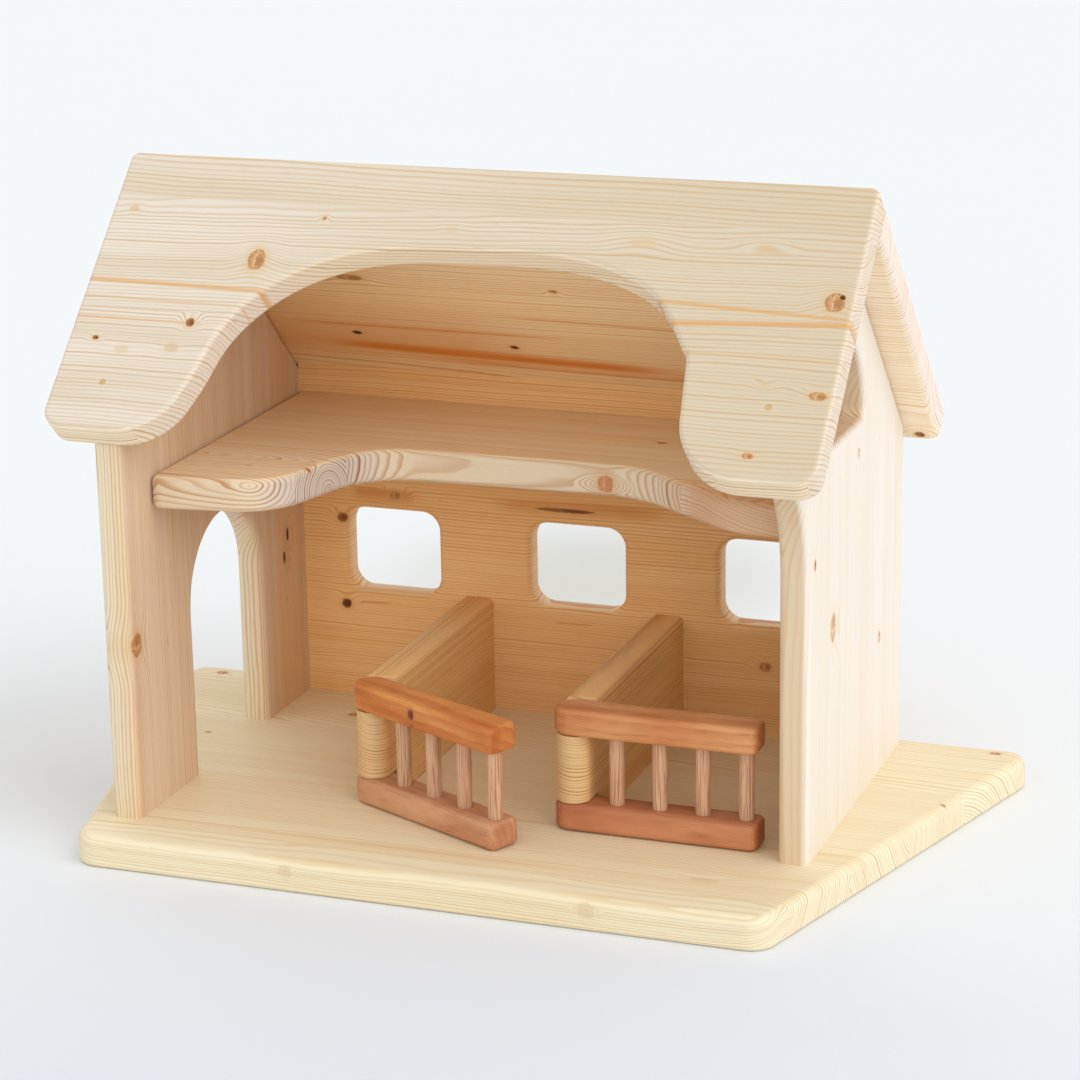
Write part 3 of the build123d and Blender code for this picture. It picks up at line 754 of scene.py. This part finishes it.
        # painted shade: a darker, yellower tint on every face but the outer one
        dress("right_wall", Spruce("right_wall_spruce", Lay(self.at(0, 0, 0), Z, Y), 9.0,
                                   seen(242, 236, 228), seen(232, 208, 172), 54.0, 2.2, 0.6,
                                   right_knots, heart=seen(238, 228, 210), knot_colours=right_orange,
                                   piths=(Pith(-100.0, 300.0, -200.0, -190.0),),
                                   painted_shade=seen(239, 223, 200), painted_shade_from=-374.0, painted_shade_to=-371.0).build())
        back_knots = (Knot(41, 127, 2.8, 1.1, Tone.DARK, swirl=1.2), Knot(42, 74, 2.8, 1.1, Tone.BLACK),
                      Knot(75, 143, 2.2, 1.5, Tone.BROWN, swirl=2.0),
                      Knot(181, 142.5, 1.2, 15.0, Tone.DARK, swirl=0.5),
                      Knot(300, 60, 2.6, 1.3, Tone.BROWN))
        back_streaks = (Streak(45, 92, 144, 5.0, -1.0, 0.7), Streak(130, 250, 143, 5.0, 2.0, 0.6),
                        Streak(48, 72, 76, 1.0, 1.0, 0.8), Streak(170, 200, 74.5, 0.8, 0.5, 0.7),
                        Streak(-200, 600, 158, 7.0, 2.0, 0.5))
        # painted shade: a darker, yellower tint on the inner face; rim: painted highlight on the long
        # edges
        dress("back_wall", Spruce("back_wall_spruce", Lay(self.at(0, BACK_WALL_INSIDE, 0), X, Z), 14.0,
                                  seen(253, 221, 176), seen(214, 144, 84), 60.0, 1.6, 0.75,
                                  back_knots, back_streaks, seen(212, 140, 58), seen(242, 200, 140),
                                  painted_shade=seen(255, 242, 216), painted_shade_from=-10.0, painted_shade_to=-1.0,
                                  wander=3.5, piths=(Pith(-100.0, 300.0, -80.0, -20.0),),
                                  rim=seen(250, 226, 188), end=seen(244, 214, 172),
                                  end_late=seen(206, 150, 96)).build())

    def dress_loft(self) -> None:
        """Loft floor, grain along the front."""
        knots = (Knot(241, 121, 4.6, 1.0, Tone.BROWN, 191.0, 4.8, 1.6),
                 Knot(256, 173, 1.8, 1.4, Tone.DARK, LOFT_TOP),
                 Knot(93, 69, 1.2, 2.8, Tone.BLACK, LOFT_TOP, 2.5),
                 Knot(58, 66, 0.8, 3.0, Tone.BROWN, LOFT_TOP, 2.5))
        orange = KnotColours(seen(206, 126, 70), seen(216, 138, 78), seen(172, 96, 50),
                             seen(234, 178, 118), seen(228, 172, 116), seen(236, 190, 138))
        first_seam, last_seam = 56.0, 98.0
        piths = (Pith(0.0, first_seam, 38.0, 199.0), Pith(first_seam, last_seam, 83.0, 203.5, -0.175),
                 Pith(last_seam, 140.0, 62.0, 198.5), Pith(140.0, 240.0, -30.0, 120.0))
        streaks = (Streak(270, 420, 84, 30.0, 0.0, 0.6),)
        # painted shade: a cool grey tint on every face but the top
        dress("loft_floor", Spruce("loft_spruce", Lay(self.at(0, 0, 0), X, Y), 20.7207,
                                   seen(250, 232, 200), seen(214, 162, 112), last_seam - first_seam,
                                   1.8, 0.9, knots, streaks, seen(226, 160, 102),
                                   seen(246, 214, 166), 2.0,
                                   painted_shade=seen(236, 238, 244), painted_shade_from=201.8, painted_shade_to=200.6,
                                   piths=piths, knot_colours=orange).build())

    def dress_dividers(self) -> None:
        """Stall dividers: grain runs back, so their noses show end grain."""
        for node, seed, pith in (("left_divider", 27.0, (76.0, 14.0)),
                                 ("right_divider", 33.0, (190.0, 20.0))):
            low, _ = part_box(node)
            dress(node, Spruce(f"{node}_spruce", Lay(Vector((low.x, low.y, 0)), Y, Z), seed,
                               seen(250, 208, 146), seen(192, 130, 70), 90.0, 2.1, 0.75,
                               heart=seen(236, 182, 114), wander=1.2,
                               piths=(Pith(-1000.0, 1000.0, *pith),), end=seen(224, 192, 142),
                               end_late=seen(184, 132, 80)).build())

    def dress_dowels(self) -> None:
        """Dowels and pins: beech, end grain outwards."""
        beech = Hardwood("dowel_beech", Lay(self.at(0, 0, 0), Z, X), 2.0, BEECH_LIGHT,
                         BEECH_DEEP, BEECH_PORE, 0.4, 1.6, 0.4).build()
        for node in ("wall_foot_dowels", "back_wall_dowels", "loft_dowels", "divider_dowels",
                     "ridge_dowels", "roof_pins"):
            dress(node, beech)

    def build(self) -> None:
        """Dresses every still board."""
        self.dress_base()
        self.dress_roof()
        self.dress_walls()
        self.dress_loft()
        self.dress_dividers()
        self.dress_dowels()


class SpindleNodes:
    """Geometry Nodes tree that stands a row of turned spindles along a line."""

    INPUTS = (("Middle of first", "NodeSocketVector"), ("Step", "NodeSocketVector"),
              ("Count", "NodeSocketInt"), ("Radius", "NodeSocketFloat"), ("Length", "NodeSocketFloat"),
              ("Unevenness", "NodeSocketFloat"), ("Seed", "NodeSocketInt"),
              ("Wood", "NodeSocketMaterial"))
    RINGS = 25          # cross-sections along a rod
    SIDES = 32          # corners round a rod
    LUMPS = 140.0       # lumps of unevenness per metre

    def __init__(self) -> None:
        """Builds the tree."""
        self.tree = bpy.data.node_groups.new("spindle_row", "GeometryNodeTree")
        self.tree.interface.new_socket("Geometry", in_out="INPUT", socket_type="NodeSocketGeometry")
        self.sockets = {name: self.tree.interface.new_socket(name, in_out="INPUT", socket_type=kind)
                        for name, kind in self.INPUTS}
        self.tree.interface.new_socket("Geometry", in_out="OUTPUT", socket_type="NodeSocketGeometry")
        self._build()

    def _node(self, kind: str, settings: dict | None = None,
              sockets: dict | None = None) -> bpy.types.Node:
        """Adds a node; sockets take values, output sockets or nodes, whose first output counts."""
        made = self.tree.nodes.new(kind)
        for name, value in (settings or {}).items():
            setattr(made, name, value)
        for key, value in (sockets or {}).items():
            source = value.outputs[0] if isinstance(value, bpy.types.Node) else value
            if isinstance(source, bpy.types.NodeSocket):
                self.tree.links.new(source, made.inputs[key])
            else:
                made.inputs[key].default_value = source
        return made

    def _build(self) -> None:
        """Adds the nodes: one rod, repeated along the row, made one mesh and given its wood."""
        given = self._node("NodeGroupInput").outputs
        half = self._node("ShaderNodeMath", {"operation": "MULTIPLY"}, {0: given["Length"], 1: 0.5})
        top = self._node("ShaderNodeCombineXYZ", {}, {2: half})
        foot = self._node("ShaderNodeVectorMath", {"operation": "SCALE"}, {0: top, "Scale": -1.0})
        line = self._node("GeometryNodeCurvePrimitiveLine", {}, {"Start": foot, "End": top})
        line = self._node("GeometryNodeResampleCurve", {}, {"Curve": line, "Count": self.RINGS})
        circle = self._node("GeometryNodeCurvePrimitiveCircle", {},
                            {"Resolution": self.SIDES, "Radius": given["Radius"]})
        rod = self._node("GeometryNodeCurveToMesh", {},
                         {"Curve": line, "Profile Curve": circle, "Fill Caps": True})
        row = self._node("GeometryNodeMeshLine", {},
                         {"Count": given["Count"], "Start Location": given["Middle of first"],
                          "Offset": given["Step"]})
        number = self._node("GeometryNodeInputIndex")
        spin = self._node("FunctionNodeRandomValue", {"data_type": "FLOAT"},
                          {2: 0.0, 3: math.tau, "ID": number, "Seed": given["Seed"]})
        turn = self._node("ShaderNodeCombineXYZ", {}, {2: spin.outputs[1]})
        rods = self._node("GeometryNodeInstanceOnPoints", {},
                          {"Points": row, "Instance": rod, "Rotation": turn})
        own = self._node("FunctionNodeRandomValue", {"data_type": "FLOAT"},
                         {2: 0.0, 3: 1.0, "ID": number, "Seed": given["Seed"]})
        named = self._node("GeometryNodeStoreNamedAttribute",
                           {"data_type": "FLOAT", "domain": "INSTANCE"},
                           {"Geometry": rods, "Name": "own_wood", "Value": own.outputs[1]})
        real = self._node("GeometryNodeRealizeInstances", {}, {0: named})
        where = self._node("GeometryNodeInputPosition")
        lumps = self._node("ShaderNodeTexNoise", {},
                           {"Vector": where, "Scale": self.LUMPS, "Detail": 1.0})
        inward = self._node("ShaderNodeMath", {"operation": "MULTIPLY"},
                            {0: lumps, 1: given["Unevenness"]})
        normal = self._node("GeometryNodeInputNormal")
        push = self._node("ShaderNodeVectorMath", {"operation": "SCALE"}, {0: normal, "Scale": inward})
        worn = self._node("GeometryNodeSetPosition", {}, {"Geometry": real, "Offset": push})
        smooth = self._node("GeometryNodeSetShadeSmooth", {}, {"Geometry": worn})
        wooden = self._node("GeometryNodeSetMaterial", {},
                            {"Geometry": smooth, "Material": given["Wood"]})
        self._node("NodeGroupOutput", {}, {0: wooden})

    def make(self, name: str, values: dict) -> bpy.types.Object:
        """Makes one row as a plain mesh.

        Args:
            name: The new object's name.
            values: Input values by name.

        Returns:
            The row, at the origin, with its place in its mesh.
        """
        holder = bpy.data.objects.new(f"{name}_nodes", bpy.data.meshes.new(f"{name}_nodes"))
        bpy.context.scene.collection.objects.link(holder)
        modifier = holder.modifiers.new("row", "NODES")
        modifier.node_group = self.tree
        for key, value in values.items():
            modifier[self.sockets[key].identifier] = value
        holder.data.update()
        graph = bpy.context.evaluated_depsgraph_get()
        mesh = bpy.data.meshes.new_from_object(holder.evaluated_get(graph), depsgraph=graph)
        mesh.name = name
        bpy.data.objects.remove(holder)
        row = bpy.data.objects.new(name, mesh)
        bpy.context.scene.collection.objects.link(row)
        return row


@dataclass
class Gate:
    """One swinging gate: two rails, a row of spindles and its pivot pin."""

    side: str
    seed: int
    top_light: Colour
    top_deep: Colour
    bottom_light: Colour
    bottom_deep: Colour
    knots: tuple[Knot, ...] = ()
    count: int = 4
    unevenness: float = -0.00025

    def node(self, piece: str) -> str:
        """Name of one of the gate's nodes."""
        return f"{self.side}_gate_{piece}"

    def pivot(self) -> Vector:
        """Place of the pivot on the floor."""
        low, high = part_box(self.node("pivot_pin"))
        return Vector(((low.x + high.x) / 2, (low.y + high.y) / 2, 0.0))

    def spindle_place(self, number: int) -> Vector:
        """Middle of a spindle."""
        low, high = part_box(self.node(f"spindle_{number}"))
        return (low + high) / 2

    def direction(self) -> Vector:
        """Direction from the pivot to the gate's free end at rest."""
        away = self.spindle_place(self.count) - self.pivot()
        away.z = 0.0
        return away.normalized()

    def dress_rails(self) -> None:
        """Rails of oiled alder, grain along each rail, and the pivot pin."""
        along = self.direction()
        across = Z.cross(along)
        for rail, light, deep, knots in (("bottom_rail", self.bottom_light, self.bottom_deep, ()),
                                         ("top_rail", self.top_light, self.top_deep, self.knots)):
            wood = Hardwood(f"{self.side}_{rail}_alder", Lay(self.pivot(), along, across),
                            self.seed + len(rail), light, deep, seen(150, 84, 48), 0.3, 5.0, 0.75,
                            knots=knots)
            dress(self.node(rail), wood.build())
        pin = Hardwood(f"{self.side}_pivot_beech", Lay(self.pivot(), Z, X), self.seed,
                       BEECH_LIGHT, BEECH_DEEP, BEECH_PORE, 0.4, 1.6, 0.4)
        dress(self.node("pivot_pin"), pin.build())

    def build_spindles(self, nodes: SpindleNodes) -> None:
        """Row of pale oak spindles with dark pores, in place of the plain rods.

        Args:
            nodes: The tree that makes rows.
        """
        first = self.spindle_place(1)
        step = (self.spindle_place(self.count) - first) / (self.count - 1)
        low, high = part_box(self.node("spindle_1"))
        oak = Hardwood(self.node("spindle_oak"), Lay(Vector((first.x, first.y, 0)), Z, X), self.seed,
                       seen(228, 190, 154), seen(206, 158, 120), seen(168, 112, 80), 0.95, 1.7, 0.4,
                       "own_wood", pore_run=0.05, pore_fine=2.3, pore_gate=0.45).build()
        row = nodes.make(self.node("spindles"), {
            "Middle of first": first, "Step": step, "Count": self.count,
            "Radius": (high.x - low.x) / 2, "Length": high.z - low.z,
            "Unevenness": self.unevenness, "Seed": self.seed, "Wood": oak})
        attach(row, f"{self.side}_gate")
        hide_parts(*(self.node(f"spindle_{number}") for number in range(1, self.count + 1)))
        LOG.info("built %s with %d spindles", row.name, self.count)

    def build(self, nodes: SpindleNodes) -> None:
        """Builds and dresses the gate."""
        self.dress_rails()
        self.build_spindles(nodes)


# ---------------------------------------------------------------------------------------- the studio
@dataclass
class Studio:
    """Pale floor, soft light and the camera."""

    lens: float = 108.33
    yaw: float = 20.28
    pitch: float = 16.58
    roll: float = -0.97
    eye: Vector = field(
        default_factory=lambda: corner_of_house() + Vector((0.78726, -1.45887, 0.65847)))
    near_floor: Colour = seen(218, 223, 232)
    far_floor: Colour = seen(238, 241, 242)
    # colour and centre of the painted shadow on the floor at the back of the barn
    floor_shadow: Colour = seen(216, 217, 211)
    grey_place: Vector = field(default_factory=lambda: Vector((0.15, -0.8, 0.0)))
    floor_shadow_place: Vector = field(default_factory=lambda: Vector((-0.1, 0.43, 0.0)))
    sky: float = 0.87
    sky_colour: tuple[float, float, float, float] = (0.972, 0.975, 0.982, 1.0)
    floor_half: float = 9.0
    sensor: float = 36.0
    lights: tuple[tuple[str, float, float, tuple[float, float, float]], ...] = (
        ("soft_key", 1.0, 55.0, (0.78, -0.2, 0.66)), ("soft_fill", 0.42, 50.0, (0.3, -0.92, 0.24)))

    def build_floor(self) -> None:
        """Wide pale floor under the barn, a little greyer in front, with a painted shadow at the back
        of the barn.
        """
        mesh = bpy.data.meshes.new("studio_floor")
        half = self.floor_half
        mesh.from_pydata([(-half, -half, 0), (half, -half, 0), (half, half, 0), (-half, half, 0)], [],
                         [(0, 1, 2, 3)])
        floor = bpy.data.objects.new("studio_floor", mesh)
        bpy.context.scene.collection.objects.link(floor)
        shader = Shader("studio_floor_paper")
        place = shader.coordinates("Object")
        cloud = shader.noise(place, 0.9, 2.0)
        away = shader.vector("DISTANCE", place, tuple(self.grey_place), output="Value")
        share = away.rises(0.2, 0.98) * 0.92 + cloud * 0.08
        colour = shader.mix(share, self.near_floor, self.far_floor)
        # painted shadow: the floor darkens to the shadow colour round a spot at the back of the barn
        shadow_distance = shader.vector("DISTANCE", place, tuple(self.floor_shadow_place), output="Value")
        colour = shader.mix(1.0 - shadow_distance.rises(0.03, 0.2), colour, self.floor_shadow)
        mesh.materials.append(shader.finish(colour, cloud * 0.05 + 0.85, cloud, 0.05))

    def build_light(self) -> None:
        """Even sky, a wide soft light from the right and a weak one from the front."""
        for name, strength, width, direction in self.lights:
            lamp = bpy.data.lights.new(name, "SUN")
            lamp.angle = math.radians(width)
            lamp.energy = strength
            light = bpy.data.objects.new(name, lamp)
            light.rotation_euler = Vector(direction).to_track_quat("Z", "Y").to_euler()
            bpy.context.scene.collection.objects.link(light)
        world = bpy.data.worlds.new("studio_sky")
        world.use_nodes = True
        background = world.node_tree.nodes["Background"]
        background.inputs["Color"].default_value = self.sky_colour
        background.inputs["Strength"].default_value = self.sky
        bpy.context.scene.world = world

    def build_camera(self) -> None:
        """Camera a little above the roof, to the right of the barn."""
        yaw, pitch, roll = (math.radians(a) for a in (self.yaw, self.pitch, self.roll))
        right = Vector((math.cos(yaw), math.sin(yaw), 0))
        ahead = Vector((-math.sin(yaw) * math.cos(pitch), math.cos(yaw) * math.cos(pitch),
                        -math.sin(pitch)))
        up = right.cross(ahead)
        turned_right = right * math.cos(roll) + up * math.sin(roll)
        turned_up = up * math.cos(roll) - right * math.sin(roll)
        data = bpy.data.cameras.new("studio_camera")
        data.lens = self.lens
        data.sensor_width = self.sensor
        camera = bpy.data.objects.new("studio_camera", data)
        axes = Matrix((turned_right, turned_up, -ahead)).transposed().to_4x4()
        camera.matrix_world = Matrix.Translation(self.eye) @ axes
        bpy.context.scene.collection.objects.link(camera)
        bpy.context.scene.camera = camera

    def build(self) -> None:
        """Builds the studio."""
        self.build_floor()
        self.build_light()
        self.build_camera()
        bpy.context.scene.view_settings.view_transform = "Standard"


def main() -> None:
    """Builds the studio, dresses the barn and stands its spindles."""
    logging.basicConfig(level=logging.INFO)
    Studio().build()
    House().build()
    nodes = SpindleNodes()
    red_knots = (Knot(41.5, -10.0, 1.7, 1.2, Tone.DARK, 80.0, 2.9, 0.6),
                 Knot(42.0, -10.0, 0.9, 1.3, Tone.BROWN, 73.5, 2.0, 0.4))
    Gate("left", 4, seen(232, 164, 94), seen(194, 104, 44), seen(226, 176, 134), seen(198, 138, 98),
         red_knots).build(nodes)
    Gate("right", 11, seen(228, 168, 112), seen(198, 124, 72), seen(212, 146, 102),
         seen(178, 106, 64)).build(nodes)


if __name__ == "__main__":
    main()
